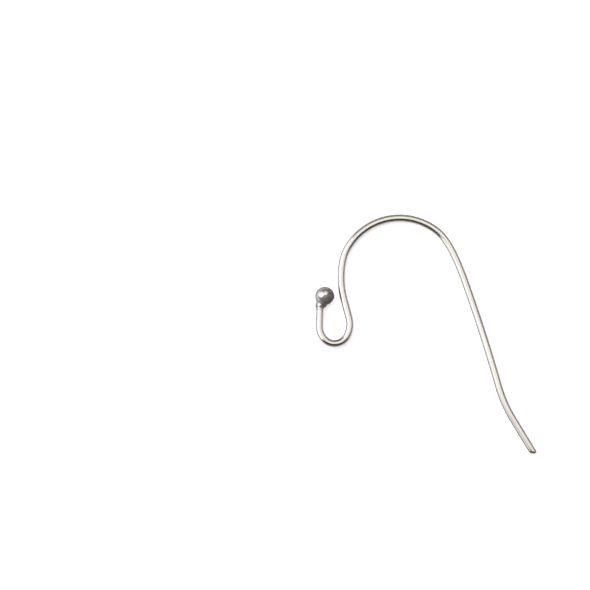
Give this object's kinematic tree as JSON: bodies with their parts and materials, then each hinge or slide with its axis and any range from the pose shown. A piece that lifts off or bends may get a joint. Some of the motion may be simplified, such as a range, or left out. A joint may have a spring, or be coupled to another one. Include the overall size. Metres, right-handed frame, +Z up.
{
  "type": "ear wire",
  "caption": "Fish-hook ear wire in round polished steel wire: a wide bow, a long leg with a kicked tail, and a drop loop closed by a small welded ball.",
  "frame": {"origin": "on the surface that it lies on, under the middle of its outer box", "axes": "+Z up, square to the surface; the lower end of the leg runs along -Y with the bow at +Y; the loop and ball are at -X and the leg at +X"},
  "size_m": [0.0192, 0.029, 0.002],
  "materials": {
    "polished_steel": "drawn and tumble polished, bright, with faint lengthwise draw lines and a greyer ball"
  },
  "bodies": {
    "root": {"ear_wire": "polished_steel"}
  },
  "joints": []
}
